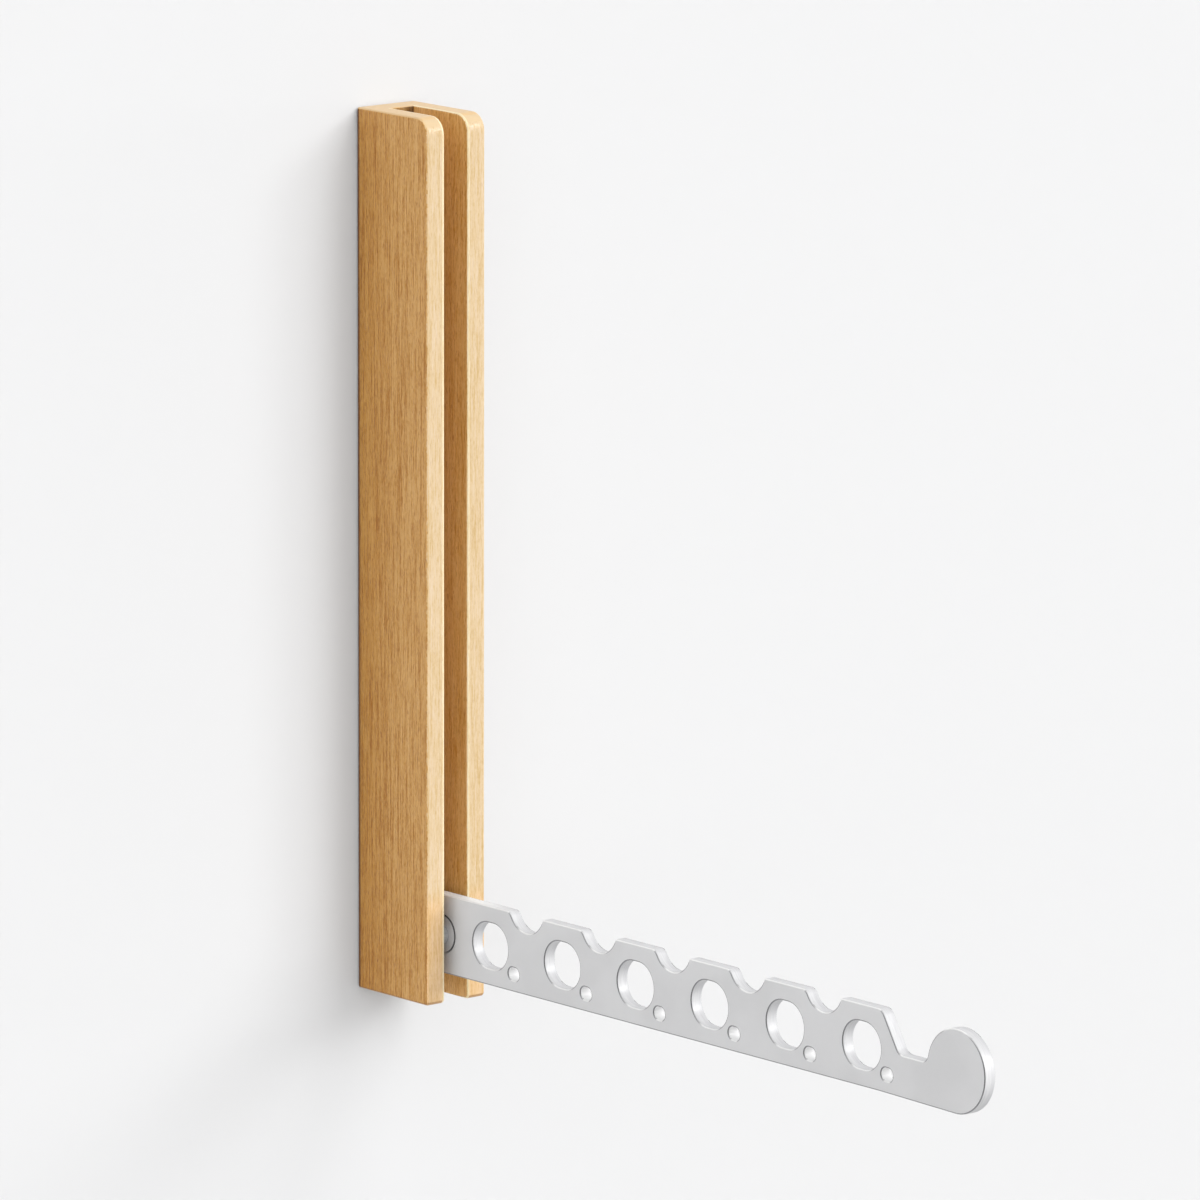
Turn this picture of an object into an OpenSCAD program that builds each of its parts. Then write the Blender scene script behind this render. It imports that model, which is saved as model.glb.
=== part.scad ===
// Fold-out wall hanger rail: an oak channel on the wall and a notched metal arm hinged in its slot.
// Frame: +Z up, the wall is the plane y = 0, the arm stands out along -Y,
// and the origin is the middle of the holder's back face.

/* [Oak holder] */
// Height of the holder
holder_h = 400; // [380:5:500]
// Width across both cheeks
holder_w = 33; // [31:0.5:40]
// Depth from the wall to the front
holder_d = 50; // [48:1:60]
// Width of the slot between the cheeks
slot_w = 13; // [12:0.5:14]
// Thickness of the wood behind the slot
web_t = 12; // [9:0.5:13]
// Radius of the cheeks' upper front corners
nose_r = 8; // [2:0.5:12]
// Radius of the cheeks' lower front corners
heel_r = 2; // [0.5:0.5:4]
// Radius that eases the long edges
edge_r = 1.2; // [0.4:0.1:2]

/* [Hanger arm] */
// Thickness of the arm's plate
arm_t = 6; // [5:0.5:7]
// Height of the arm
arm_h = 36; // [34:1:37]
// Number of large holes, with one notch after each but the last
hole_n = 6; // [2:1:6]
// Distance from one hole to the next
pitch = 50; // [44:1:50]
// Distance from the pivot to the first hole
first_hole = 33.5; // [32:0.5:36]
// Length of the large oval holes, along the arm
hole_l = 24.4; // [22:0.2:26]
// Height of the large oval holes
hole_h = 21; // [16:0.5:21.5]
// Length of the small oval holes, along the arm
peg_l = 7.4; // [6.6:0.2:8]
// Height of the small oval holes
peg_h = 5.9; // [4:0.1:6.2]
// Offset of a small hole from its large hole, outward along the arm
peg_out = 16.3; // [15:0.1:17]
// Offset of a small hole below its large hole
peg_down = 10; // [8:0.2:11]
// Radius of the notches that hold the hangers
notch_r = 12; // [11:0.5:14]
// Depth of the notches
notch_depth = 8; // [5:0.5:9]
// Radius of the notches' corner on the side of the wall
tooth_r = 4; // [1:0.5:5]
// Radius of the round end
end_r = 18.5; // [18:0.5:20]
// Distance from the last large hole to the centre of the round end
end_out = 60.4; // [58:0.2:64]
// How far the round end hangs below the arm's lower edge
end_drop = 1; // [0.5:0.1:2]
// Distance from the last large hole to the last tooth's corner
crest_out = 12.8; // [12:0.2:14]
// Angle of the last tooth's slope, from the arm's length
slope = 58; // [55:1:70]
// Radius of the arm's tail around the pivot
tail_r = 30; // [28:0.5:30]

/* [Pivot] */
// Height of the pivot above the holder's lower end
pivot_up = 30.5; // [30.5:0.5:34]
// Distance of the pivot behind the holder's front
pivot_in = 6; // [5:0.5:6]
// Diameter of the pivot pin
pin_d = 6; // [4:0.5:6]
// Diameter of the bush inside the arm
bush_d = 9; // [8:0.5:10]
// Diameter of the bush's flange
flange_d = 17; // [14:0.5:18]
// Thickness of the bush's flange
flange_t = 1; // [0.8:0.1:1.2]
// Diameter of the washers between the flanges and the cheeks
washer_d = 9; // [8.5:0.5:10]

/* [Stop] */
// Diameter of the stop pin
stop_d = 5; // [4:0.5:6]
// Diameter of the sleeve on the stop pin
sleeve_d = 8; // [7:0.5:9]

/* [Fixing] */
// Diameter of the two screw holes through the web
screw_d = 5; // [4:0.5:6]
// Diameter of their countersinks
sink_d = 10; // [8:0.5:11]
// Distance of the upper screw hole below the top
screw_top = 40; // [30:5:80]
// Distance of the lower screw hole above the lower end
screw_low = 80; // [75:5:120]

/* [Hidden] */
$fn = 64;
// play between the pin and the bushes, on the radius
running = 0.03;
// gap between pieces that move past each other
gap = 0.1;
// gap between the stop's sleeve and the arm's edge, at both ends of the travel
stop_gap = 0.2;
// how far a bush's flange stands out of its seat in the arm's face
flange_proud = 0.3;
// gap around a flange in its seat
seat_gap = 0.25;
// bevel around a flange
flange_bevel = 0.2;
// widest angle that one flat of a rounded corner turns
arc_step = 9;
// how far a cut runs past the face that it opens
past = 1;
// wood left outside the blind bores in the left cheek
blind_skin = 3;
// diameter and thickness of the oak plugs that close the pin bores in the right cheek
plug_d = 8;
plug_t = 4;
// bevel around the plugs' show face
plug_bevel = 0.4;
// fillet radii of the last recess: the tooth's corner, the floor's corner and the join with the round end
crest_r = 5;
floor_r = 5;
neck_r = 4;
// height of the last recess's floor above the arm's mid-line
floor_w = 0;
// length of the straight that leads from the arm's lower edge down to the round end
chin_l = 50;
// angle at which that straight runs into the round end
chin_meet = 3;
// how far the straights of the oval holes stay inside their round ends
oval_inset = 0.01;
wall_in = slot_w / 2;
wall_out = holder_w / 2;
pivot_y = pivot_in - holder_d;
pivot_z = pivot_up - holder_h / 2;
// the stop stands as far behind the pivot as above it, so that one pin ends the travel at 0 and at 90 degrees
stop_off = arm_h / 2 + sleeve_d / 2 + stop_gap;
holes = [for (k = [0:hole_n - 1]) first_hole + k * pitch];
last_hole = holes[hole_n - 1];
end_u = last_hole + end_out;
// height of the round end's centre above the arm's mid-line
end_w = end_r - arm_h / 2 - end_drop;
seat_t = flange_t - flange_proud;

function unit(v) = v / norm(v);
function turned(v, a) = [v.x * cos(a) - v.y * sin(a), v.x * sin(a) + v.y * cos(a)];

// points along an arc about c, from angle a to angle b
function arc(c, r, a, b) =
    let (n = max(1, ceil(abs(b - a) / arc_step)))
    [for (i = [0:n]) c + r * [cos(a + (b - a) * i / n), sin(a + (b - a) * i / n)]];

// the corner at b, on the way from a to c, rounded to the radius in b's third place
function corner(a, b, c) =
    let (
        p = [b.x, b.y],
        to_a = unit([a.x, a.y] - p),
        to_c = unit([c.x, c.y] - p),
        half = acos(to_a * to_c) / 2,
        centre = p + unit(to_a + to_c) * b[2] / sin(half),
        start = p + to_a * b[2] / tan(half) - centre,
        turn = sign(cross(to_c, to_a)) * (180 - 2 * half),
        n = max(1, ceil(abs(turn) / arc_step))
    )
    b[2] == 0 ? [p] : [for (i = [0:n]) centre + turned(start, turn * i / n)];

// an outline of [x, y, radius] corners, with each corner rounded
function rounded(p) =
    let (n = len(p))
    [for (i = [0:n - 1]) each corner(p[(i + n - 1) % n], p[i], p[(i + 1) % n])];

// a cylinder along X, from x0 to x1, around the point [y, z]
module rod(at, d, x0, x1) {
    translate([x0, at.x, at.y]) rotate([0, 90, 0]) cylinder(d = d, h = x1 - x0);
}

pivot_at = [pivot_y, pivot_z];
stop_at = [pivot_y + stop_off, pivot_z + stop_off];

// the channel seen from above: two cheeks and the web behind the slot
module channel_plan() {
    polygon(rounded([
        [-wall_out, 0, edge_r],
        [-wall_out, -holder_d, edge_r],
        [-wall_in, -holder_d, edge_r],
        [-wall_in, -web_t, 0],
        [wall_in, -web_t, 0],
        [wall_in, -holder_d, edge_r],
        [wall_out, -holder_d, edge_r],
        [wall_out, 0, edge_r]
    ]));
}

// the holder seen from its side, drawn as [y, z]
module side_view() {
    polygon(rounded([
        [0, -holder_h / 2, edge_r],
        [-holder_d, -holder_h / 2, heel_r],
        [-holder_d, holder_h / 2, nose_r],
        [0, holder_h / 2, edge_r]
    ]));
}

// the holder seen from the front, drawn as [x, z]
module front_view() {
    polygon(rounded([
        [-wall_out, -holder_h / 2, edge_r],
        [-wall_out, holder_h / 2, edge_r],
        [wall_out, holder_h / 2, edge_r],
        [wall_out, -holder_h / 2, edge_r]
    ]));
}

// a bore for a pin: blind in the left cheek, through the right one, with a seat for the plug
module pin_bore(at, d) {
    rod(at, d, -wall_out + blind_skin, -wall_in + past);
    rod(at, d, wall_in - past, wall_out - plug_t + past);
    rod(at, plug_d, wall_out - plug_t, wall_out + past);
}

// a countersunk screw hole through the web, at height z
module screw_hole(z) {
    translate([0, 0, z]) rotate([90, 0, 0]) {
        translate([0, 0, -past]) cylinder(d = screw_d, h = web_t + 2 * past);
        translate([0, 0, web_t - (sink_d - screw_d) / 2])
            cylinder(d1 = screw_d, d2 = sink_d + 2 * past, h = (sink_d - screw_d) / 2 + past);
    }
}

module oak_holder() {
    color("burlywood") difference() {
        intersection() {
            translate([0, 0, -holder_h / 2]) linear_extrude(holder_h) channel_plan();
            rotate([90, 0, 90]) translate([0, 0, -wall_out]) linear_extrude(holder_w) side_view();
            rotate([90, 0, 0]) linear_extrude(holder_d) front_view();
        }
        pin_bore(pivot_at, pin_d);
        pin_bore(stop_at, stop_d);
        screw_hole(holder_h / 2 - screw_top);
        screw_hole(screw_low - holder_h / 2);
    }
}

// a hanger's notch in the arm's top edge, u from the pivot, with a round corner on the side of the wall
module notch(u) {
    bowl = [u, arm_h / 2 + notch_r - notch_depth];
    side = [u - sqrt((notch_r + tooth_r) ^ 2 - (bowl.y - arm_h / 2 + tooth_r) ^ 2), arm_h / 2 - tooth_r];
    lean = atan2(bowl.y - side.y, bowl.x - side.x);
    translate(bowl) circle(r = notch_r);
    polygon(concat(arc(side, tooth_r, 90, lean), [bowl, [side.x, bowl.y]]));
}

// the last hanging place, between the last tooth's slope and the round end
module end_recess() {
    crest = last_hole + crest_out;
    foot = crest + (arm_h / 2 - floor_w) / tan(slope);
    neck_w = floor_w + neck_r;
    neck = [end_u - sqrt((end_r + neck_r) ^ 2 - (neck_w - end_w) ^ 2), neck_w];
    lean = atan2(end_w - neck.y, end_u - neck.x);
    above = arm_h / 2 + past;
    way = rounded([
        [crest - 2 * crest_r, above, 0],
        [crest - 2 * crest_r, arm_h / 2, 0],
        [crest, arm_h / 2, crest_r],
        [foot, floor_w, floor_r],
        [neck.x, floor_w, 0]
    ]);
    polygon(concat(way, arc(neck, neck_r, 270, 360 + lean), [[end_u, end_w], [end_u, above]]));
}

// the straight that runs down from the arm's lower edge into the round end, almost at a tangent
module chin() {
    from = [end_u - chin_l, -arm_h / 2];
    to = [end_u, end_w];
    reach = norm(to - from);
    below = end_r * cos(chin_meet);
    lean = atan2(to.y - from.y, to.x - from.x) - asin(below / reach);
    foot = from + sqrt(reach ^ 2 - below ^ 2) * [cos(lean), sin(lean)];
    polygon([from, foot, to]);
}

// an oval hole with round ends, l long and h high
module oval(l, h) {
    for (side = [-1, 1]) translate([side * (l - h) / 2, 0]) circle(d = h);
    square([l - h, h - 2 * oval_inset], center = true);
}

// the arm's outline, u along the arm from the pivot and w up from its mid-line
module arm_outline() {
    difference() {
        union() {
            difference() {
                translate([-tail_r, -arm_h / 2]) square([tail_r + end_u, arm_h]);
                end_recess();
                difference() {
                    translate([-tail_r - past, -arm_h / 2 - past]) square([tail_r, arm_h + 2 * past]);
                    circle(r = tail_r, $fn = 128);
                }
            }
            translate([end_u, end_w]) circle(r = end_r, $fn = 128);
            chin();
        }
        for (u = holes) {
            translate([u, 0]) oval(hole_l, hole_h);
            translate([u + peg_out, -peg_down]) oval(peg_l, peg_h, $fn = 32);
            if (u < last_hole) notch(u + pitch / 2);
        }
    }
}

// the arm, bored for the bushes, with a seat for a flange in each face
module hanger_arm() {
    seat_d = flange_d + 2 * seat_gap;
    color("gainsboro") difference() {
        translate([arm_t / 2, pivot_y, pivot_z]) rotate([90, 0, -90]) linear_extrude(arm_t) arm_outline();
        rod(pivot_at, bush_d, -arm_t / 2 - past, arm_t / 2 + past);
        rod(pivot_at, seat_d, -arm_t / 2 - past, seat_t - arm_t / 2);
        rod(pivot_at, seat_d, arm_t / 2 - seat_t, arm_t / 2 + past);
    }
}

// a flanged bush, pressed into the arm from one face: side is -1 for the left and 1 for the right
module bush(side) {
    seat = arm_t / 2 - seat_t;
    translate([0, pivot_y, pivot_z]) rotate([0, side * 90, 0]) difference() {
        union() {
            translate([0, 0, gap]) cylinder(d = bush_d, h = seat - gap);
            translate([0, 0, seat]) cylinder(d = flange_d, h = flange_t - flange_bevel, $fn = 96);
            translate([0, 0, seat + flange_t - flange_bevel])
                cylinder(d1 = flange_d, d2 = flange_d - 2 * flange_bevel, h = flange_bevel, $fn = 96);
        }
        cylinder(r = pin_d / 2 + running, h = arm_t);
    }
}

// a plain washer between a bush's flange and a cheek
module washer(side) {
    face = arm_t / 2 + flange_proud + gap;
    translate([0, pivot_y, pivot_z]) rotate([0, side * 90, 0]) difference() {
        translate([0, 0, face]) cylinder(d = washer_d, h = wall_in - face);
        cylinder(d = pin_d + 2 * gap, h = wall_in + past);
    }
}

module bush_left() {
    color("silver") bush(-1);
}

module bush_right() {
    color("silver") bush(1);
}

module washer_left() {
    color("lightgray") washer(-1);
}

module washer_right() {
    color("lightgray") washer(1);
}

// a steel pin across both cheeks, from the blind bore to the plug
module cross_pin(at, d) {
    rod(at, d, -wall_out + blind_skin, wall_out - plug_t);
}

module pivot_pin() {
    color("slategray") cross_pin(pivot_at, pin_d);
}

module stop_pin() {
    color("slategray") cross_pin(stop_at, stop_d);
}

module stop_sleeve() {
    color("darkslategray") difference() {
        rod(stop_at, sleeve_d, gap - wall_in, wall_in - gap);
        rod(stop_at, stop_d, -wall_in, wall_in);
    }
}

// an oak plug over a pin's end, bevelled around its show face
module plug(at) {
    translate([wall_out - plug_t, at.x, at.y]) rotate([0, 90, 0]) {
        cylinder(d = plug_d, h = plug_t - plug_bevel);
        translate([0, 0, plug_t - plug_bevel])
            cylinder(d1 = plug_d, d2 = plug_d - 2 * plug_bevel, h = plug_bevel);
    }
}

module pivot_plug() {
    color("tan") plug(pivot_at);
}

module stop_plug() {
    color("tan") plug(stop_at);
}

oak_holder();
hanger_arm();
bush_left();
bush_right();
pivot_pin();
washer_left();
washer_right();
pivot_plug();
stop_pin();
stop_sleeve();
stop_plug();
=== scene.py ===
# Folding wall hanger rail: an oak holder on the wall, and a notched metal arm that folds down from its slot.
import math

import bmesh
import bpy
from mathutils import Matrix, Vector


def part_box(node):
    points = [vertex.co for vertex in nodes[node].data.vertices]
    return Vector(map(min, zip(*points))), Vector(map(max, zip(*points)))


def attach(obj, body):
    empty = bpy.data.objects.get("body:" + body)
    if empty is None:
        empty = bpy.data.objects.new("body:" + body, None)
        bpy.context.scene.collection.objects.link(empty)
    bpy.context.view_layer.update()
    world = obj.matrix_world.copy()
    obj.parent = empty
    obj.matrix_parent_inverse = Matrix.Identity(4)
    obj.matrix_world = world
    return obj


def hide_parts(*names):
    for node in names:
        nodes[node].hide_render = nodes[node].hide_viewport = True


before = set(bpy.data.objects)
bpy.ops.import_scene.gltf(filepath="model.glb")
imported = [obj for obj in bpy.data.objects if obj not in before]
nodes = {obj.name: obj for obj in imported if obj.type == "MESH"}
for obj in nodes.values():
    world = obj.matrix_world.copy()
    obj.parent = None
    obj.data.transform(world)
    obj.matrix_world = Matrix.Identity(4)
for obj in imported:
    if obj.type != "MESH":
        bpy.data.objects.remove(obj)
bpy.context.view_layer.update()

mm = 0.001
near = 0.01 * mm                    # places closer than this count as the same
mergeNear = 1e-6                    # and corners closer than this are merged
sharpTurn = math.radians(40)        # edges sharper than this are arrises
noiseRange = (0.3, 0.7)             # where nearly all of a noise lies

# Camera: fitted to the edges and holes of the photographed rail.
cameraSetup = {
    "lens": 320.839,
    "sensor": 36.0,
    "clip": (0.1, 60.0),
    "place": (-2.954162, -3.666964, 0.873677),
    "right": (0.76609, -0.64272, 0.00255),
    "up": (0.11849, 0.14513, 0.98229),
    "back": (-0.63171, -0.75222, 0.18734),
}


def makeCamera(setup):
    data = bpy.data.cameras.new("camera")
    data.lens = setup["lens"]
    data.sensor_width = setup["sensor"]
    data.clip_start, data.clip_end = setup["clip"]
    camera = bpy.data.objects.new("camera", data)
    bpy.context.scene.collection.objects.link(camera)
    turn = Matrix((setup["right"], setup["up"], setup["back"])).transposed()
    camera.matrix_world = Matrix.Translation(setup["place"]) @ turn.to_4x4()
    bpy.context.scene.camera = camera


makeCamera(cameraSetup)
bpy.context.scene.view_settings.view_transform = "Standard"
print("camera is set")


# Small helpers for the node trees.
def startMaterial(name):
    material = bpy.data.materials.new(name)
    material.use_nodes = True
    tree = material.node_tree
    tree.nodes.clear()
    output = tree.nodes.new("ShaderNodeOutputMaterial")
    return material, tree, output


def put(tree, kind, inputs=None, **settings):
    node = tree.nodes.new(kind)
    for key, value in settings.items():
        setattr(node, key, value)
    for key, value in (inputs or {}).items():
        if isinstance(value, bpy.types.NodeSocket):
            tree.links.new(value, node.inputs[key])
        else:
            node.inputs[key].default_value = value
    return node


def calc(tree, operation, first, second=0.5):
    return put(tree, "ShaderNodeMath", {0: first, 1: second}, operation=operation).outputs[0]


def product(tree, first, *others):
    for other in others:
        first = calc(tree, "MULTIPLY", first, other)
    return first


def remap(tree, value, low, high, newLow=0.0, newHigh=1.0, smooth=True):
    kind = "SMOOTHSTEP" if smooth else "LINEAR"
    inputs = {"Value": value, "From Min": low, "From Max": high, "To Min": newLow, "To Max": newHigh}
    return put(tree, "ShaderNodeMapRange", inputs, interpolation_type=kind).outputs["Result"]


def between(tree, share, first, second):
    return remap(tree, share, 0, 1, first, second, smooth=False)


def colour(rgb):
    return (rgb[0], rgb[1], rgb[2], 1.0)


def blendColour(tree, factor, first, second, mode="MIX"):
    node = put(tree, "ShaderNodeMix", {0: factor, 6: first, 7: second}, data_type="RGBA", blend_type=mode)
    return node.outputs[2]


def shade(tree, tone, share):
    return blendColour(tree, 1.0, tone, colour(share), mode="MULTIPLY")


def shadeWhere(tree, mask, tone, share):
    return blendColour(tree, mask, tone, shade(tree, tone, share))


def ramp(tree, value, stops):
    node = put(tree, "ShaderNodeValToRGB", {0: value})
    elements = node.color_ramp.elements
    while len(elements) < len(stops):
        elements.new(0.5)
    for element, (at, tone) in zip(elements, stops):
        element.position = at
        element.color = colour(tone)
    return node.outputs[0]


def splitVector(tree, vector):
    return put(tree, "ShaderNodeSeparateXYZ", {0: vector}).outputs


def stretched(tree, coordinates, scale, place=(0, 0, 0)):
    inputs = {"Vector": coordinates, "Location": place, "Scale": scale}
    return put(tree, "ShaderNodeMapping", inputs).outputs[0]


def noise(tree, vector, scale, detail, roughness):
    inputs = {"Vector": vector, "Scale": scale, "Detail": detail, "Roughness": roughness}
    return put(tree, "ShaderNodeTexNoise", inputs).outputs[0]


def glossFrom(tree, pattern, look):
    low, high = (look["roughness"] + step for step in look["glossSpread"])
    return remap(tree, pattern, *noiseRange, low, high)


def bumpFrom(tree, height, look):
    inputs = {"Height": height, "Strength": look["relief"], "Distance": look["depth"]}
    return put(tree, "ShaderNodeBump", inputs).outputs[0]


def joinShader(tree, output, tone, gloss, bump, metallic=0.0):
    inputs = {"Base Color": tone, "Roughness": gloss, "Normal": bump, "Metallic": metallic}
    shader = put(tree, "ShaderNodeBsdfPrincipled", inputs)
    tree.links.new(shader.outputs[0], output.inputs["Surface"])


# 1 for rays that see a surface as it is: the camera's own, and those by way of a mirror or glass.
def seeingRays(tree, path):
    seen = calc(tree, "MAXIMUM", path["Is Camera Ray"], path["Is Glossy Ray"])
    return calc(tree, "MAXIMUM", seen, path["Is Transmission Ray"])


# Stage: a plain wall that the rail hangs on, and a plain floor below it. Both are seen in one pale tone, and
# the floor lights the rail from below in a darker one.
stageSetup = {
    "wallGap": 0.4 * mm,
    "halfWidth": 14.0,
    "wallTop": 9.0,
    "floorDrop": 1.25,
    "seenTone": (0.80, 0.80, 0.803),
    "wallTone": (0.80, 0.80, 0.803),
    "floorTone": (0.55, 0.55, 0.552),
    "worldTone": (1.0, 1.0, 1.0),
    "worldLight": 0.42,
    "worldSeen": 0.922,
}


# The wall is clear from behind, and right behind the holder it lets light through to the holder's back.
def makeStageMaterial(name, tone, seenTone):
    material, tree, output = startMaterial(name)
    path = put(tree, "ShaderNodeLightPath").outputs
    shown = blendColour(tree, seeingRays(tree, path), colour(tone), colour(seenTone))
    matte = put(tree, "ShaderNodeBsdfDiffuse", {"Color": shown})
    clear = put(tree, "ShaderNodeBsdfTransparent")
    back = put(tree, "ShaderNodeNewGeometry").outputs["Backfacing"]
    lighting = calc(tree, "MAXIMUM", path["Is Shadow Ray"], path["Is Diffuse Ray"])
    place = splitVector(tree, put(tree, "ShaderNodeTexCoord").outputs["Object"])
    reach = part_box("oak_holder")[1]
    beside = calc(tree, "LESS_THAN", calc(tree, "ABSOLUTE", place["X"]), reach[0])
    level = calc(tree, "LESS_THAN", calc(tree, "ABSOLUTE", place["Z"]), reach[2])
    opening = calc(tree, "MAXIMUM", back, product(tree, lighting, beside, level))
    mixed = put(tree, "ShaderNodeMixShader", {0: opening, 1: matte.outputs[0], 2: clear.outputs[0]})
    tree.links.new(mixed.outputs[0], output.inputs["Surface"])
    return material


def addPlane(name, material, middle, size, tilt=0):
    bpy.ops.object.select_all(action="DESELECT")
    bpy.ops.mesh.primitive_plane_add(size=1, location=middle, rotation=(tilt, 0, 0))
    piece = bpy.context.object
    piece.name = piece.data.name = name
    piece.scale = (size[0], size[1], 1)
    bpy.ops.object.transform_apply(location=True, rotation=True, scale=True)
    piece.data.materials.append(material)


def makeStage(setup):
    wide, top, drop = 2 * setup["halfWidth"], setup["wallTop"], setup["floorDrop"]
    wallPaint = makeStageMaterial("stageWall", setup["wallTone"], setup["seenTone"])
    floorPaint = makeStageMaterial("stageFloor", setup["floorTone"], setup["seenTone"])
    addPlane("stageWall", wallPaint, (0, setup["wallGap"], (top - drop) / 2), (wide, top + drop), math.pi / 2)
    addPlane("stageFloor", floorPaint, (0, 0, -drop), (wide, wide))


def makeWorld(setup):
    world = bpy.data.worlds.new("studio")
    bpy.context.scene.world = world
    world.use_nodes = True
    tree = world.node_tree
    tree.nodes.clear()
    seen = seeingRays(tree, put(tree, "ShaderNodeLightPath").outputs)
    strength = between(tree, seen, setup["worldLight"], setup["worldSeen"])
    light = put(tree, "ShaderNodeBackground", {"Color": colour(setup["worldTone"]), "Strength": strength})
    output = put(tree, "ShaderNodeOutputWorld")
    tree.links.new(light.outputs[0], output.inputs["Surface"])


# Soft lamps far away: "toward" points from the rail to the lamp, "width" is how many degrees wide it looks
# from there, and "level" is what it gives a pale face turned to it. Only mirrored ones show in the metal.
lampSetup = {
    "keyLamp": {"toward": (0.42, -0.80, 0.43), "width": 50, "level": 0.13, "mirrored": False},
    "softLamp": {"toward": (0.32, -0.86, 0.40), "width": 24, "level": 0.17, "mirrored": False},
    "highLamp": {"toward": (0.20, -0.65, 0.73), "width": 24, "level": 0.12, "mirrored": False},
    "frontLamp": {"toward": (-0.35, -0.90, 0.25), "width": 80, "level": 0.36, "mirrored": False},
    "windowLamp": {"toward": (0.63, -0.67, 0.39), "width": 18, "level": 0.13, "mirrored": True},
    "rimLamp": {"toward": (0.96, -0.22, -0.06), "width": 12, "level": 0.08, "mirrored": True},
}
# A dark board that only mirrors see, so that the metal's flat face doesn't shine.
flagSetup = {"toward": (-0.63, -0.75, 0.19), "distance": 6.0, "size": 5.0, "tone": (0.05, 0.05, 0.05)}


def makeLamps(setup):
    for name, lamp in setup.items():
        data = bpy.data.lights.new(name, "SUN")
        data.angle = math.radians(lamp["width"])
        data.energy = lamp["level"] * math.pi
        piece = bpy.data.objects.new(name, data)
        piece.rotation_euler = Vector(lamp["toward"]).to_track_quat("Z", "Y").to_euler()
        piece.visible_glossy = lamp["mirrored"]
        bpy.context.scene.collection.objects.link(piece)


def makeFlag(setup):
    material, tree, output = startMaterial("darkFlag")
    matte = put(tree, "ShaderNodeBsdfDiffuse", {"Color": colour(setup["tone"])})
    tree.links.new(matte.outputs[0], output.inputs["Surface"])
    toward = Vector(setup["toward"]).normalized()
    bpy.ops.mesh.primitive_plane_add(size=setup["size"], location=toward * setup["distance"],
                                     rotation=toward.to_track_quat("Z", "Y").to_euler())
    flag = bpy.context.object
    flag.name = "darkFlag"
    flag.data.materials.append(material)
    flag.visible_camera = flag.visible_diffuse = flag.visible_shadow = flag.visible_transmission = False


makeStage(stageSetup)
makeWorld(stageSetup)
makeLamps(lampSetup)
makeFlag(flagSetup)
print("stage, world and lamps are set")

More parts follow.
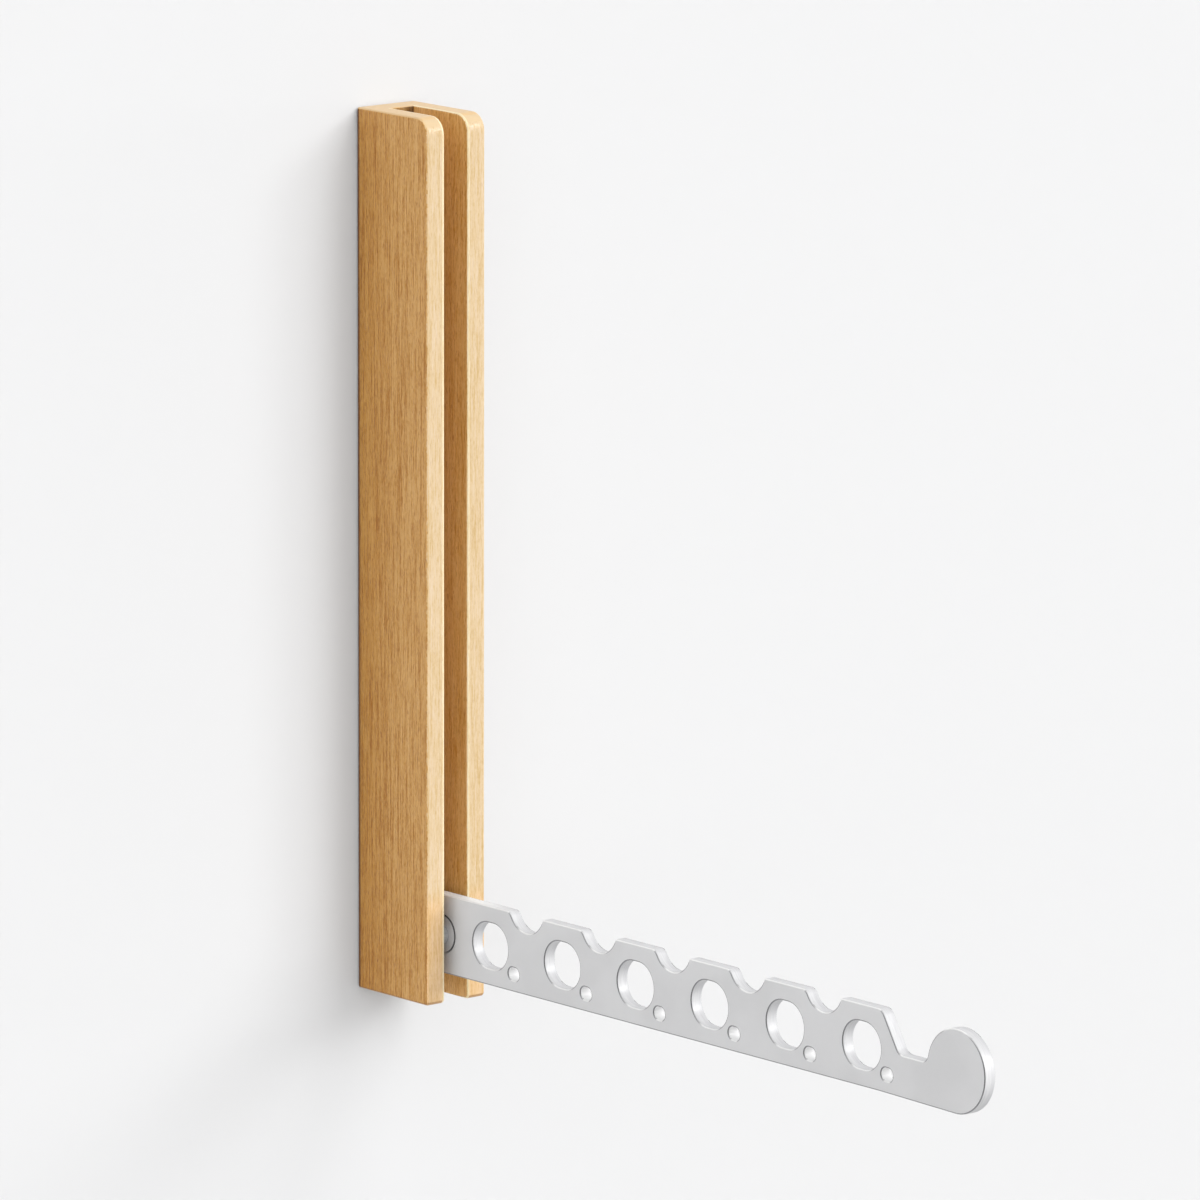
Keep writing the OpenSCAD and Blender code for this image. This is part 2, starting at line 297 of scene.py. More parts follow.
# Oak: growth rings about a tree axis beside the rail, so that faces show straight lines and ends show arcs.
oakLook = {
    # The faces' tones. The fronts are paler and greyer than the sides, a painted sheen; the slot's faces
    # are paler than the sides, painted light against the slot's shade; the web is darker, painted shade.
    "sideTone": (0.685, 0.358, 0.090),
    "frontPaintedSheenTone": (0.768, 0.576, 0.340),
    "slotPaintedLightTone": (0.86, 0.490, 0.152),
    "webPaintedShadeTone": (0.52, 0.30, 0.105),
    "endTone": (0.80, 0.545, 0.265),
    "slotHighlightTone": (1.00, 0.84, 0.54),                # a painted highlight on the slot's arrises
    # Shades, which multiply the tone they lie on.
    # Painted shade: the sides turn darker and more orange toward the wall.
    "nearWallPaintedShade": (0.90, 0.80, 0.52),
    # Painted shadow: a dark line on the sides where they meet the wall.
    "contactPaintedShadow": (0.36, 0.28, 0.26),
    # Painted shadow: the back arris, turned to the wall, is nearly black.
    "backArrisPaintedShadow": (0.12, 0.09, 0.06),
    # Painted shadow: the web turns darker toward the far cheek's corner.
    "webCornerPaintedShadow": (0.32, 0.27, 0.20),
    # Painted light: the fronts low down, in the arm's shadow, are warmer and lighter.
    "lowFrontPaintedWarmLight": (1.117, 1.005, 0.883),
    # Painted highlight: the fronts' outer arrises are paler and yellower.
    "frontArrisHighlight": (1.12, 1.07, 0.96),
    # Painted shade: the arrises that turn down are darker.
    "underArrisPaintedShade": (0.66, 0.55, 0.44),
    "darkGrainShade": (0.68, 0.51, 0.10),
    "paleGrainShade": (1.14, 1.24, 1.62),
    "poreShade": (0.58, 0.38, 0.18),
    # Where a mask starts and is full, by the part of the face's normal that it reads.
    "endTurn": (0.35, 0.65),
    "frontTurn": (0.42, 0.52),
    "frontWander": 0.22,                            # how far the fronts' rim strays along the grain
    "webTurn": (0.5, 0.8),
    "backTurn": (0.97, 0.90),
    "backArrisTurn": (0.01, 0.12),
    "frontArrisTurn": (0.12, 0.45),
    "slotHighlightTurn": (0.97, 0.86),
    "underTurn": (-0.08, -0.35),
    "bottomTurn": (-0.97, -0.80),
    # Where a mask starts and is full, or ends, by place.
    "slotHalf": 8.0 * mm,
    "frontBefore": -30.0 * mm,
    "webCornerAt": (-3.0 * mm, 6.0 * mm),
    "nearWallAt": (-36.0 * mm, 0.0),
    "contactAt": (-2.7 * mm, -1.5 * mm),
    "lowFrontAt": (-146.0 * mm, -158.0 * mm),
    "slotHighlightBeside": 6.6 * mm,
    "slotHighlightBefore": -11.5 * mm,
    "farSlotHighlightTo": 7.5 * mm,
    # The grain: rings, and noises drawn out along the rail, each with the range that counts and its share.
    "treeAxis": (0.20, 0.13, 0.0),
    "ringGap": 2.6 * mm,
    "ringAlong": 0.02,
    "ringWander": 7.0,
    "ringWanderScale": 60.0,
    "ringRange": (0.2, 1.0),
    "ringShare": 0.03,
    "layers": {
        "bands": {"scale": 90, "along": 0.02, "rough": 0.5, "range": (0.30, 0.70), "share": 0.10},
        "streaks": {"scale": 1300, "along": 0.02, "rough": 0.6, "range": (0.32, 0.68), "share": 0.42},
        "fibres": {"scale": 1550, "along": 0.085, "rough": 0.6, "range": (0.34, 0.66), "share": 0.30},
        "flecks": {"scale": 1350, "along": 0.45, "rough": 0.6, "range": (0.34, 0.66), "share": 0.18},
    },
    "pores": {"scale": 1800, "along": 0.16, "rough": 0.5, "range": (0.60, 0.70)},
    "ragged": {"scale": 1500, "along": 0.35, "rough": 0.6},
    "darkGrain": (0.50, 0.95),
    "paleGrain": (0.50, 0.10),
    "sideStrength": 1.42, "frontStrength": 0.58, "slotStrength": 0.7,
    "sidePores": 0.55, "frontPores": 0.20,
    # What rays that come by way of the wall, or of the metal as a mirror, see of the oak.
    "bounceTone": (0.56, 0.545, 0.53),
    "frontBounceTone": (0.84, 0.83, 0.81),
    "mirrorTone": (0.82, 0.81, 0.79),
    "bounceShare": 0.8, "slotBounceShare": 0.4, "mirrorShare": 0.85,
    # Gloss and relief.
    "roughness": 0.25, "endRoughness": 0.36, "glossSpread": (-0.04, 0.08),
    "fibreHeight": 0.5, "poreDip": 0.7,
    "relief": 0.22, "depth": 0.2 * mm,
}


def oakMasks(tree, coords, look, ragged):
    face = splitVector(tree, coords["Normal"])
    place = splitVector(tree, coords["Object"])
    across, ahead, aloft = (calc(tree, "ABSOLUTE", face[axis]) for axis in "XYZ")
    beside = calc(tree, "ABSOLUTE", place["X"])
    notBack = remap(tree, face["Y"], *look["backTurn"])
    inSlot = product(tree, notBack, calc(tree, "LESS_THAN", beside, look["slotHalf"]))
    ends = remap(tree, aloft, *look["endTurn"])
    flat = calc(tree, "SUBTRACT", 1.0, ends)
    stray = look["frontWander"]
    wander = product(tree, flat, remap(tree, ragged, *noiseRange, -stray, stray, smooth=False))
    front = product(tree, remap(tree, calc(tree, "ADD", ahead, wander), *look["frontTurn"]),
                    calc(tree, "LESS_THAN", place["Y"], look["frontBefore"]))
    web = product(tree, inSlot, remap(tree, ahead, *look["webTurn"]),
                  calc(tree, "GREATER_THAN", place["Y"], look["frontBefore"]))
    # Painted highlight: the slot's arrises that catch the light get a pale tone.
    slotHighlight = product(tree, inSlot, remap(tree, across, *look["slotHighlightTurn"]),
                     calc(tree, "GREATER_THAN", beside, look["slotHighlightBeside"]),
                     calc(tree, "LESS_THAN", place["Y"], look["slotHighlightBefore"]),
                     calc(tree, "LESS_THAN", place["X"], look["farSlotHighlightTo"]))
    return {
        "inSlot": inSlot,
        "ends": ends,
        "flat": flat,
        "front": front,
        "web": web,
        "slotHighlight": slotHighlight,
        "lowFront": remap(tree, place["Z"], *look["lowFrontAt"]),
        "frontArris": product(tree, remap(tree, across, *look["frontArrisTurn"]),
                              calc(tree, "SUBTRACT", 1.0, inSlot)),
        "webCorner": remap(tree, place["X"], *look["webCornerAt"]),
        "nearWall": product(tree, notBack, remap(tree, place["Y"], *look["nearWallAt"])),
        "contact": product(tree, notBack, remap(tree, place["Y"], *look["contactAt"])),
        "backArris": product(tree, notBack, remap(tree, face["Y"], *look["backArrisTurn"])),
        "under": product(tree, remap(tree, face["Z"], *look["underTurn"]),
                         remap(tree, face["Z"], *look["bottomTurn"])),
    }


def oakTone(tree, masks, look):
    # Painted light and shade are laid on the tones here: warm light low on the fronts, highlights on the
    # fronts' and the slot's arrises, shade toward the wall and under the arrises, and shadows at the wall's
    # contact, on the back arris and in the web's corner.
    front = shadeWhere(tree, masks["lowFront"], colour(look["frontPaintedSheenTone"]), look["lowFrontPaintedWarmLight"])
    front = shadeWhere(tree, masks["frontArris"], front, look["frontArrisHighlight"])
    web = shadeWhere(tree, masks["webCorner"], colour(look["webPaintedShadeTone"]), look["webCornerPaintedShadow"])
    side = shadeWhere(tree, masks["nearWall"], colour(look["sideTone"]), look["nearWallPaintedShade"])
    side = shadeWhere(tree, masks["contact"], side, look["contactPaintedShadow"])
    side = shadeWhere(tree, masks["backArris"], side, look["backArrisPaintedShadow"])
    tone = blendColour(tree, masks["inSlot"], side, colour(look["slotPaintedLightTone"]))
    tone = blendColour(tree, masks["web"], tone, web)
    tone = blendColour(tree, masks["ends"], tone, colour(look["endTone"]))
    tone = blendColour(tree, masks["front"], tone, front)
    tone = shadeWhere(tree, masks["under"], tone, look["underArrisPaintedShade"])
    return blendColour(tree, masks["slotHighlight"], tone, colour(look["slotHighlightTone"]))


def oakRings(tree, place, look):
    waveScale = math.tau / (20 * look["ringGap"])        # the wave node has 20 / tau rings to a unit
    inputs = {
        "Vector": stretched(tree, place, (1, 1, look["ringAlong"]), look["treeAxis"]),
        "Scale": waveScale,
        "Distortion": look["ringWander"],
        "Detail Scale": look["ringWanderScale"] / waveScale,
    }
    return put(tree, "ShaderNodeTexWave", inputs, wave_type="RINGS", rings_direction="Z").outputs[1]


def grainNoise(tree, place, layer, detail=1.0):
    space = stretched(tree, place, (1, 1, layer["along"]))
    return noise(tree, space, layer["scale"], detail=detail, roughness=layer["rough"])


def makeOak(name, look, shift=(0, 0, 0)):
    material, tree, output = startMaterial(name)
    coords = put(tree, "ShaderNodeTexCoord").outputs
    place = stretched(tree, coords["Object"], (1, 1, 1), shift)
    masks = oakMasks(tree, coords, look, grainNoise(tree, place, look["ragged"], detail=2.0))
    front, flat, inSlot = masks["front"], masks["flat"], masks["inSlot"]
    tone = oakTone(tree, masks, look)

    # The grain darkens and lightens the tone, less on fronts and in the slot, and not on ends.
    rings = remap(tree, oakRings(tree, place, look), *look["ringRange"], smooth=False)
    grain = product(tree, rings, look["ringShare"])
    patterns = {}
    for kind, layer in look["layers"].items():
        patterns[kind] = grainNoise(tree, place, layer)
        part = remap(tree, patterns[kind], *layer["range"], 0.0, layer["share"], smooth=False)
        grain = calc(tree, "ADD", grain, part)
    strength = product(tree, between(tree, front, look["sideStrength"], look["frontStrength"]),
                       between(tree, inSlot, 1.0, look["slotStrength"]), flat)
    dark = product(tree, remap(tree, grain, *look["darkGrain"], smooth=False), strength)
    pale = product(tree, remap(tree, grain, *look["paleGrain"], smooth=False), strength)
    wood = shadeWhere(tree, dark, tone, look["darkGrainShade"])
    wood = blendColour(tree, pale, wood, shade(tree, tone, look["paleGrainShade"]))
    pores = remap(tree, grainNoise(tree, place, look["pores"]), *look["pores"]["range"])
    poreDepth = product(tree, pores, between(tree, front, look["sidePores"], look["frontPores"]), flat)
    wood = blendColour(tree, poreDepth, wood, shade(tree, tone, look["poreShade"]))

    # Rays that come by way of the wall or the metal meet a greyer wood, so that it hardly tints them.
    path = put(tree, "ShaderNodeLightPath").outputs
    share = between(tree, product(tree, inSlot, flat), look["bounceShare"], look["slotBounceShare"])
    bounced = calc(tree, "MAXIMUM", product(tree, path["Is Diffuse Ray"], share),
                   product(tree, path["Is Glossy Ray"], look["mirrorShare"]))
    bounce = blendColour(tree, front, colour(look["bounceTone"]), colour(look["frontBounceTone"]))
    bounce = blendColour(tree, path["Is Glossy Ray"], bounce, colour(look["mirrorTone"]))
    wood = blendColour(tree, bounced, wood, bounce)

    # Streaks vary the gloss, and fibres and pores make the relief.
    gloss = product(tree, flat, remap(tree, patterns["streaks"], *noiseRange, *look["glossSpread"]))
    gloss = calc(tree, "ADD", gloss, between(tree, flat, look["endRoughness"], look["roughness"]))
    height = calc(tree, "SUBTRACT", product(tree, patterns["fibres"], look["fibreHeight"]),
                  product(tree, pores, look["poreDip"]))
    joinShader(tree, output, wood, gloss, bumpFrom(tree, product(tree, height, flat), look))
    return material


# Metal: a fine blasted satin face, cut edges with lines along the cut, and a broken arris with painted light
# and shade: a painted highlight where it turns up, and dark where it turns down or away from the light.
metalLook = {
    "armFace": {
        "tone": (0.775, 0.775, 0.78), "roughness": 0.52, "metallic": 0.22, "blast": 2600, "relief": 0.08,
    },
    "bushSteel": {
        "tone": (0.74, 0.74, 0.75), "roughness": 0.46, "metallic": 0.25, "blast": 1800, "relief": 0.06,
    },
    "pinSteel": {
        "tone": (0.58, 0.58, 0.60), "roughness": 0.25, "metallic": 1.0, "blast": 1500, "relief": 0.06,
    },
    # Painted light: the peg holes' walls are far paler than the other cut edges, so they show near white.
    "pegWallPaintedLight": {
        "tone": (0.97, 0.97, 0.97), "roughness": 0.50, "metallic": 0.10, "blast": 1500, "relief": 0.03,
    },
    # Painted shadow: the flange's rim, dark for the gap round it.
    "gapPaintedShadow": {
        "tone": (0.15, 0.15, 0.155), "roughness": 0.40, "metallic": 0.10, "blast": 1500, "relief": 0.03,
    },
}
metalWear = {
    "cloudScale": 28, "cloudRange": (0.35, 0.7), "cloudShade": 0.94,
    "wearScale": 260, "glossSpread": (-0.04, 0.06), "depth": 0.05 * mm,
}
edgeLook = {
    # Painted light and shade: the cut edges are paler than the faces, and darker where they turn up or down
    # and on their far half.
    "tone": (0.85, 0.85, 0.855),
    "lineTone": (0.77, 0.77, 0.78), "lineScale": 2400, "lineStretch": 0.05, "lineRange": (0.40, 0.66),
    "upPaintedShade": (0.86, 0.86, 0.865), "upTurn": (0.30, 0.60),
    "downPaintedShade": (0.80, 0.80, 0.805), "downTurn": (0.05, -0.60),
    "farPaintedShade": (0.90, 0.90, 0.905), "farAt": (-1.0 * mm, 2.4 * mm),
    # Painted light: the top edges by the arm's root are made pale against the cheeks' shade.
    "rootPaintedLight": (0.98, 0.98, 0.98), "rootAt": (-95.0 * mm, -62.0 * mm),
    "rootAbove": -156.0 * mm, "rootTurn": 0.8,
    "roughness": 0.45, "glossSpread": (-0.03, 0.05), "metallic": 0.25,
    "relief": 0.05, "depth": 0.05 * mm,
}
arrisLook = {
    "stops": (                                      # painted shade where faces turn down, at 0, to a painted highlight where they turn up, at 1
        (0.0, (0.34, 0.34, 0.35)),
        (0.45, (0.20, 0.20, 0.21)),
        (0.62, (0.20, 0.20, 0.21)),
        (0.78, (0.36, 0.36, 0.37)),
        (0.93, (0.52, 0.52, 0.53)),
        (0.975, (0.98, 0.98, 0.98)),
    ),
    # Painted dark reflection on the arrises turned to +X, and painted shade where an arris meets the plane
    # face.
    "farPaintedDark": (0.06, 0.06, 0.065),
    "innerPaintedShade": (0.80, 0.80, 0.80), "innerTurn": (0.50, 0.25),
    "leastSquare": 0.0001,                          # keeps a plane face's lift from being divided by nothing
    "wearScale": 700,
    "roughness": 0.42, "glossSpread": (-0.04, 0.06), "metallic": 0.4,
    "relief": 0.02, "depth": 0.02 * mm,
}


def makeMetal(name, look):
    material, tree, output = startMaterial(name)
    look = {**metalWear, **look}
    place = put(tree, "ShaderNodeTexCoord").outputs["Object"]
    blast = noise(tree, place, look["blast"], detail=2.0, roughness=0.6)
    cloud = noise(tree, place, look["cloudScale"], detail=2.0, roughness=0.5)
    wear = noise(tree, place, look["wearScale"], detail=3.0, roughness=0.6)
    dim = [value * look["cloudShade"] for value in look["tone"]]
    tone = blendColour(tree, remap(tree, cloud, *look["cloudRange"]), colour(look["tone"]), colour(dim))
    joinShader(tree, output, tone, glossFrom(tree, wear, look), bumpFrom(tree, blast, look), look["metallic"])
    return material


def makeCutEdge(name, look):
    material, tree, output = startMaterial(name)
    coords = put(tree, "ShaderNodeTexCoord").outputs
    face = splitVector(tree, coords["Normal"])
    place = splitVector(tree, coords["Object"])
    along = stretched(tree, coords["Object"], (1, look["lineStretch"], look["lineStretch"]))
    lines = noise(tree, along, look["lineScale"], detail=2.0, roughness=0.6)
    inLine = remap(tree, lines, *look["lineRange"])
    tone = blendColour(tree, inLine, colour(look["tone"]), colour(look["lineTone"]))
    # Painted shade: darker where the edge turns up or down, and on its far half.
    tone = shadeWhere(tree, remap(tree, face["Z"], *look["upTurn"]), tone, look["upPaintedShade"])
    tone = shadeWhere(tree, remap(tree, face["Z"], *look["downTurn"]), tone, look["downPaintedShade"])
    tone = shadeWhere(tree, remap(tree, place["X"], *look["farAt"]), tone, look["farPaintedShade"])
    # Painted light: pale top edges by the arm's root.
    root = product(tree, remap(tree, place["Y"], *look["rootAt"]),
                   calc(tree, "GREATER_THAN", face["Z"], look["rootTurn"]),
                   calc(tree, "GREATER_THAN", place["Z"], look["rootAbove"]))
    tone = blendColour(tree, root, tone, colour(look["rootPaintedLight"]))
    gloss = glossFrom(tree, lines, look)
    joinShader(tree, output, tone, gloss, bumpFrom(tree, lines, look), look["metallic"])
    return material


def makeArris(name, look):
    material, tree, output = startMaterial(name)
    coords = put(tree, "ShaderNodeTexCoord").outputs
    face = splitVector(tree, coords["Normal"])
    squares = calc(tree, "ADD", product(tree, face["Z"], face["Z"]), product(tree, face["Y"], face["Y"]))
    offPlane = calc(tree, "SQRT", calc(tree, "MAXIMUM", squares, look["leastSquare"]))
    lift = remap(tree, calc(tree, "DIVIDE", face["Z"], offPlane), -1, 1, smooth=False)
    # Painted light and shade: the tone follows how far the arris turns up, with a painted highlight on top,
    # and the arrises turned to +X are painted almost black.
    tone = ramp(tree, lift, look["stops"])
    tone = shadeWhere(tree, remap(tree, offPlane, *look["innerTurn"]), tone, look["innerPaintedShade"])
    tone = blendColour(tree, calc(tree, "GREATER_THAN", face["X"], 0.0), tone, colour(look["farPaintedDark"]))
    wear = noise(tree, coords["Object"], look["wearScale"], detail=3.0, roughness=0.6)
    joinShader(tree, output, tone, glossFrom(tree, wear, look), bumpFrom(tree, wear, look), look["metallic"])
    return material


plasticLook = {
    "washerNylon": {"tone": (0.38, 0.38, 0.38), "roughness": 0.45},
    "sleeveRubber": {"tone": (0.035, 0.035, 0.037), "roughness": 0.68},
}
plasticWear = {
    "cloudScale": 300, "cloudRange": (0.35, 0.7), "cloudShade": 0.85, "fineScale": 3000,
    "glossSpread": (-0.05, 0.08), "relief": 0.15, "depth": 0.05 * mm,
}


def makePlastic(name, look):
    material, tree, output = startMaterial(name)
    look = {**plasticWear, **look}
    place = put(tree, "ShaderNodeTexCoord").outputs["Object"]
    cloud = noise(tree, place, look["cloudScale"], detail=3.0, roughness=0.5)
    fine = noise(tree, place, look["fineScale"], detail=2.0, roughness=0.6)
    dim = [value * look["cloudShade"] for value in look["tone"]]
    tone = blendColour(tree, remap(tree, cloud, *look["cloudRange"]), colour(look["tone"]), colour(dim))
    joinShader(tree, output, tone, glossFrom(tree, cloud, look), bumpFrom(tree, fine, look))
    return material


oak = makeOak("oiledOak", oakLook)
plugOak = makeOak("plugOak", oakLook, shift=(0.012, 0.031, 0.47))
metals = {name: makeMetal(name, look) for name, look in metalLook.items()}
cutEdge = makeCutEdge("armEdge", edgeLook)
brokenArris = makeArris("armArris", arrisLook)
plastics = {name: makePlastic(name, look) for name, look in plasticLook.items()}
print("materials are made")

# Every CAD node gets its finish, also where a finer piece stands for it.
nodeFinishes = {
    "oak_holder": oak,
    "pivot_plug": plugOak,
    "stop_plug": plugOak,
    "hanger_arm": metals["armFace"],
    "bush_left": metals["bushSteel"],
    "bush_right": metals["bushSteel"],
    "pivot_pin": metals["pinSteel"],
    "stop_pin": metals["pinSteel"],
    "washer_left": plastics["washerNylon"],
    "washer_right": plastics["washerNylon"],
    "stop_sleeve": plastics["sleeveRubber"],
}
for name, finish in nodeFinishes.items():
    nodes[name].material_slots[0].material = finish


# Modelling helpers. They work on the active piece.
def makeActive(piece):
    bpy.ops.object.select_all(action="DESELECT")
    bpy.context.view_layer.objects.active = piece
    piece.select_set(True)


def pick(piece, kind, wanted):
    bpy.ops.object.mode_set(mode="EDIT")
    bpy.ops.mesh.select_mode(type=kind)
    bpy.ops.mesh.select_all(action="DESELECT")
    shape = bmesh.from_edit_mesh(piece.data)
    for element in (shape.faces if kind == "FACE" else shape.edges):
        if wanted(element):
            element.select_set(True)
    bmesh.update_edit_mesh(piece.data)


def applyModifier(piece, kind, **settings):
    bpy.ops.object.mode_set(mode="OBJECT")
    modifier = piece.modifiers.new(kind.lower(), kind)
    for key, value in settings.items():
        setattr(modifier, key, value)
    bpy.ops.object.modifier_apply(modifier=modifier.name)


def smoothPiece(piece, smoothTo):
    bpy.ops.object.mode_set(mode="OBJECT")
    bpy.ops.object.shade_smooth_by_angle(angle=math.radians(smoothTo))
    applyModifier(piece, "WEIGHTED_NORMAL", keep_sharp=True)


def setFinishes(piece, *finishes):
    piece.data.materials.clear()
    for finish in finishes:
        piece.data.materials.append(finish)


def midOfNode(nodeName):
    low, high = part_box(nodeName)
    return (low[1] + high[1]) / 2, (low[2] + high[2]) / 2


def isSharp(edge):
    return edge.is_manifold and edge.calc_face_angle() > sharpTurn


def drill(piece, start, end, startRadius, endRadius, sides=96):
    start, end = Vector(start), Vector(end)
    way = end - start
    turn = way.to_track_quat("Z", "Y").to_euler()
    bpy.ops.object.mode_set(mode="OBJECT")
    bpy.ops.object.select_all(action="DESELECT")
    bpy.ops.mesh.primitive_cone_add(vertices=sides, radius1=startRadius, radius2=endRadius, depth=way.length,
                                    location=(start + end) / 2, rotation=turn)
    cutter = bpy.context.object
    makeActive(piece)
    applyModifier(piece, "BOOLEAN", operation="DIFFERENCE", solver="EXACT", object=cutter)
    bpy.data.objects.remove(cutter)


# The holder: a web with two cheeks drawn out of it, the corners rounded, the arrises eased, then bored.
holderShape = {
    "webDepth": 12.0 * mm,
    "noseRadius": 8.0 * mm, "noseSteps": 16,
    "heelRadius": 2.0 * mm, "heelSteps": 6,
    "arris": 1.2 * mm, "arrisSteps": 4,
    "slotEndShare": 0.5,                            # of the arris, on the web at the slot's two ends
    "forwardTurn": -0.9,                            # faces turned further forward than this carry the cheeks
    "screwHeights": (160.0 * mm, -120.0 * mm),
    "screwRadius": 2.5 * mm, "sinkRadius": 5.0 * mm,
    "past": 1.0 * mm,                               # how far a drill runs past the wood
    "smoothTo": 30,
}


def roundCorner(piece, front, height, radius, steps):
    def atCorner(vert):
        return abs(vert.co.y - front) < near and abs(vert.co.z - height) < near

    pick(piece, "EDGE", lambda edge: all(atCorner(vert) for vert in edge.verts))
    bpy.ops.mesh.bevel(offset=radius, segments=steps, affect="EDGES")


def easeArrises(piece, shape, slotHalf, height):
    def isArris(edge):
        return isSharp(edge) and edge.is_convex

    def endsSlot(edge):
        return all(abs(vert.co.x) < slotHalf + near and abs(vert.co.z) > height - near for vert in edge.verts)

    pick(piece, "EDGE", lambda edge: isArris(edge) and not endsSlot(edge))
    bpy.ops.transform.edge_bevelweight(value=1.0)
    pick(piece, "EDGE", lambda edge: isArris(edge) and endsSlot(edge))
    bpy.ops.transform.edge_bevelweight(value=shape["slotEndShare"])
    applyModifier(piece, "BEVEL", width=shape["arris"], segments=shape["arrisSteps"], limit_method="WEIGHT",
                  use_clamp_overlap=False)


# The pins' bores are as wide and as deep as the pins, and the plugs' bores come out of the cheek.
def boreHolder(piece, shape):
    past, radius, sink = shape["past"], shape["screwRadius"], shape["sinkRadius"]
    for name, out in (("pivot_pin", 0), ("pivot_plug", past), ("stop_pin", 0), ("stop_plug", past)):
        low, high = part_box(name)
        y, z = midOfNode(name)
        bore = (high[1] - low[1]) / 2
        drill(piece, (low[0], y, z), (high[0] + out, y, z), bore, bore)
    floor = -shape["webDepth"]
    for z in shape["screwHeights"]:
        drill(piece, (0, past, z), (0, floor - past, z), radius, radius)
        drill(piece, (0, floor + sink - radius, z), (0, floor - past, z), radius, sink + past)


def makeHolder(shape):
    low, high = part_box("oak_holder")
    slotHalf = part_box("washer_right")[1][0]
    bpy.ops.object.select_all(action="DESELECT")
    bpy.ops.mesh.primitive_cube_add(size=1, location=(0, -shape["webDepth"] / 2, 0))
    piece = bpy.context.object
    piece.name = piece.data.name = "holderChannel"
    piece.scale = (high[0] - low[0], shape["webDepth"], high[2] - low[2])
    bpy.ops.object.transform_apply(location=True, rotation=True, scale=True)
    for side in (-1, 1):
        pick(piece, "FACE", lambda face: True)
        bpy.ops.mesh.bisect(plane_co=(side * slotHalf, 0, 0), plane_no=(1, 0, 0))
    pick(piece, "FACE", lambda face: face.normal.y < shape["forwardTurn"]
         and abs(face.calc_center_median().x) > slotHalf)
    bpy.ops.mesh.extrude_region_move(TRANSFORM_OT_translate={"value": (0, low[1] + shape["webDepth"], 0)})
    roundCorner(piece, low[1], high[2], shape["noseRadius"], shape["noseSteps"])
    roundCorner(piece, low[1], low[2], shape["heelRadius"], shape["heelSteps"])
    easeArrises(piece, shape, slotHalf, high[2])
    boreHolder(piece, shape)
    smoothPiece(piece, shape["smoothTo"])
    setFinishes(piece, oak)
    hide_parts("oak_holder")
    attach(piece, "holder")


makeHolder(holderShape)
print("holder is made")

# The arm: the plate with its arrises rounded, and a finish each for faces, cut edges, arrises and peg holes.
armShape = {
    "arris": 0.6 * mm, "steps": 3, "smoothTo": 35,
    "seatShare": 0.4, "seatReach": 10.0 * mm,       # the arris is smaller round the bushes' seat
    "planeTurn": 0.99,                              # faces turned further sideways are the plate's own
    "wallTurn": 0.5,                                # those turned less are walls
    "topTurn": 0.8, "topWallTurn": 0.15,            # but where they look up, they are turned less yet
    "firstPeg": 49.8 * mm, "pitch": 50.0 * mm, "pegDown": 10.0 * mm, "pegReach": 4.2 * mm,
}


def copyOfNode(nodeName, pieceName):
    mesh = nodes[nodeName].data.copy()
    mesh.name = pieceName
    piece = bpy.data.objects.new(pieceName, mesh)
    bpy.context.scene.collection.objects.link(piece)
    makeActive(piece)
    bpy.ops.mesh.customdata_custom_splitnormals_clear()
    bpy.ops.object.mode_set(mode="EDIT")
    bpy.ops.mesh.select_all(action="SELECT")
    bpy.ops.mesh.remove_doubles(threshold=mergeNear)
    return piece


# Insets make rings of faces along both plane faces' rims, and the rings are then let down into a round arris.
def roundRims(piece, shape, plane, seat):
    radius, steps = shape["arris"], shape["steps"]
    turns = [math.pi / 2 * step / steps for step in range(steps + 1)]
    pick(piece, "FACE", lambda face: abs(face.normal.x) > shape["planeTurn"]
         and abs(face.verts[0].co.x) > plane - near)
    for step in range(steps, 0, -1):
        bpy.ops.mesh.inset(thickness=radius * (math.sin(turns[step]) - math.sin(turns[step - 1])), depth=0)
    rims = bmesh.from_edit_mesh(piece.data)
    walls = {face for face in rims.faces if abs(face.normal.x) < shape["wallTurn"]}
    onPlane = {vert for vert in rims.verts if abs(abs(vert.co.x) - plane) < near}
    ring = {vert for vert in onPlane if not walls.isdisjoint(vert.link_faces)}
    done = set(ring)
    for step in range(steps, 0, -1):
        following = {edge.other_vert(vert) for vert in ring for edge in vert.link_edges} & onPlane - done
        for vert in ring:
            fromSeat = math.hypot(vert.co.y - seat[0], vert.co.z - seat[1])
            share = shape["seatShare"] if fromSeat < shape["seatReach"] else 1
            vert.co.x -= math.copysign(share * radius * (1 - math.cos(turns[step])), vert.co.x)
        ring = following
        done |= following
    rims.normal_update()
    bmesh.update_edit_mesh(piece.data)
    bpy.ops.object.mode_set(mode="OBJECT")


def isPegWall(face, shape, pivot):
    along, height = pivot[0] - face.center.y, face.center.z - pivot[1]
    off = (along - shape["firstPeg"]) % shape["pitch"]
    off = min(off, shape["pitch"] - off)
    return math.hypot(off, height + shape["pegDown"]) < shape["pegReach"]


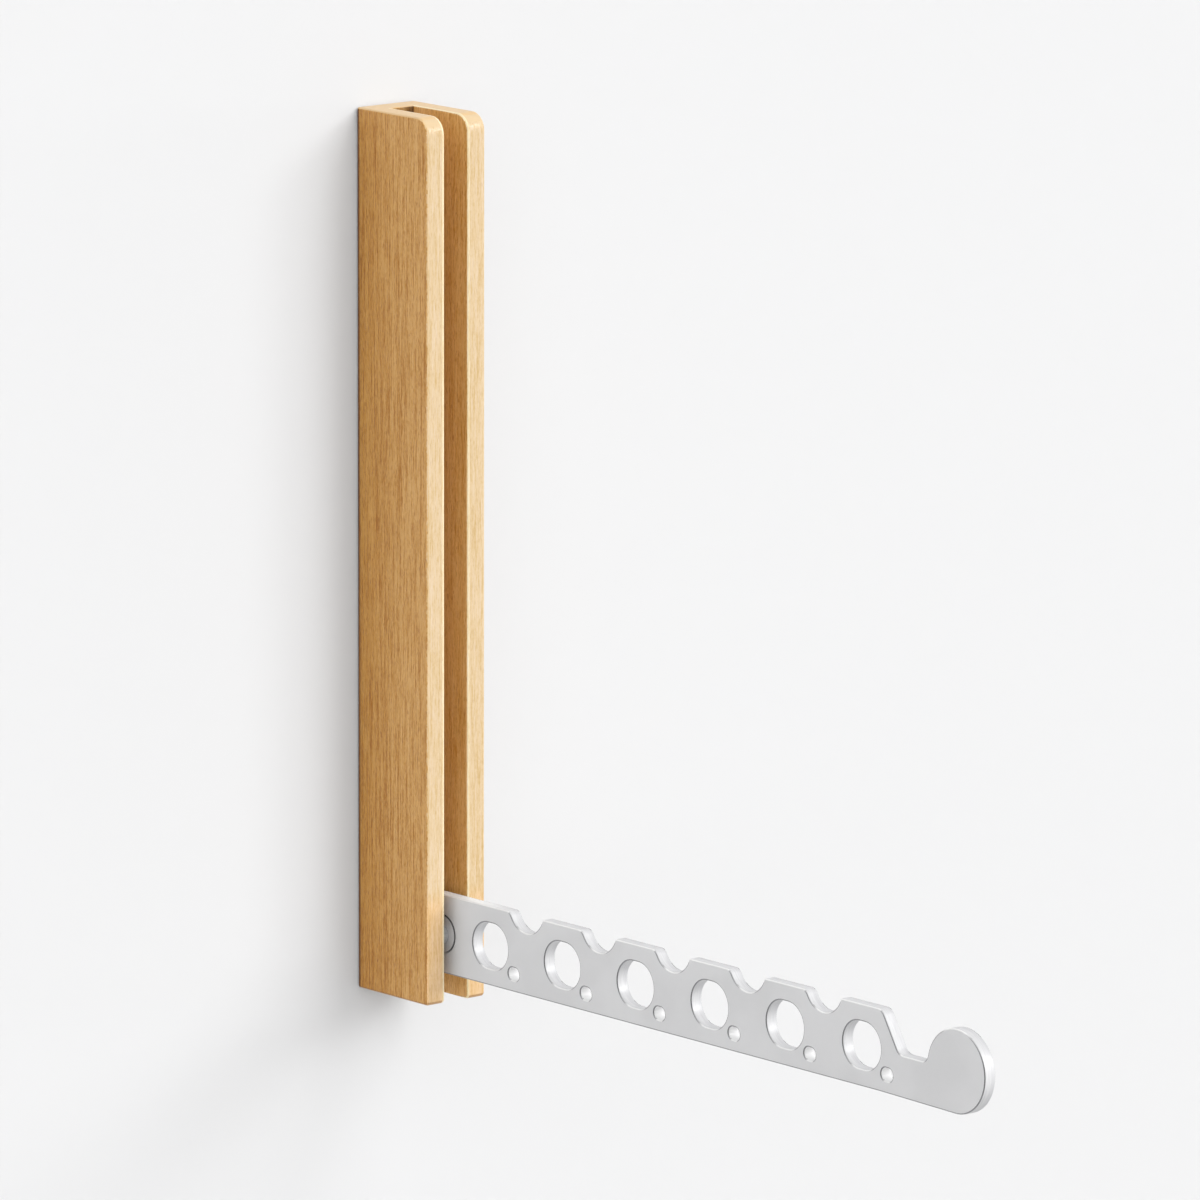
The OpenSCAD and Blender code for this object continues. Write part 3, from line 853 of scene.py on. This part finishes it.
def makeArm(shape):
    piece = copyOfNode("hanger_arm", "armPlate")
    setFinishes(piece, metals["armFace"], cutEdge, brokenArris, metals["pegWallPaintedLight"])
    planeFinish, cutFinish, arrisFinish, pegFinish = range(4)
    pivot = midOfNode("pivot_pin")
    roundRims(piece, shape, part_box("hanger_arm")[1][0], midOfNode("bush_left"))
    for face in piece.data.polygons:
        tilt = abs(face.normal.x)
        wallTurn = shape["topWallTurn"] if face.normal.z > shape["topTurn"] else shape["wallTurn"]
        if tilt > shape["planeTurn"]:
            face.material_index = planeFinish
        elif tilt > wallTurn:
            face.material_index = arrisFinish
        # The peg holes' walls get the painted light finish.
        elif isPegWall(face, shape, pivot):
            face.material_index = pegFinish
        else:
            face.material_index = cutFinish
    smoothPiece(piece, shape["smoothTo"])
    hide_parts("hanger_arm")
    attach(piece, "arm")


makeArm(armShape)
print("arm is made")

# The bushes: the flange's rim is broken, and its rim faces are painted dark, a painted shadow of the fine gap
# round it.
bushShape = {
    "rimRadius": 8.5 * mm, "rimNear": 0.03 * mm,
    "arris": 0.12 * mm, "arrisSteps": 2, "smoothTo": 40,
    "flatTurn": 0.9,                                # faces turned less sideways are the flange's rim
}


def makeBush(nodeName, pieceName, shape):
    piece = copyOfNode(nodeName, pieceName)
    low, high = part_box(nodeName)
    centre = midOfNode(nodeName)
    outer = max(low[0], high[0], key=abs)

    def fromAxis(point):
        return math.hypot(point.y - centre[0], point.z - centre[1])

    def atRim(vert):
        return (abs(vert.co.x - outer) < shape["rimNear"]
                and fromAxis(vert.co) > shape["rimRadius"] - shape["rimNear"])

    pick(piece, "EDGE", lambda edge: isSharp(edge) and all(atRim(vert) for vert in edge.verts))
    bpy.ops.mesh.bevel(offset=shape["arris"], segments=shape["arrisSteps"], affect="EDGES")
    bpy.ops.object.mode_set(mode="OBJECT")
    setFinishes(piece, metals["bushSteel"], metals["gapPaintedShadow"])
    # The flange's rim faces get the painted shadow.
    for face in piece.data.polygons:
        onFlange = fromAxis(face.center) > shape["rimRadius"] - 2 * shape["arris"]
        face.material_index = 1 if onFlange and abs(face.normal.x) < shape["flatTurn"] else 0
    smoothPiece(piece, shape["smoothTo"])
    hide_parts(nodeName)
    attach(piece, "arm")


makeBush("bush_left", "bushNear", bushShape)
makeBush("bush_right", "bushFar", bushShape)
print("bushes are made")
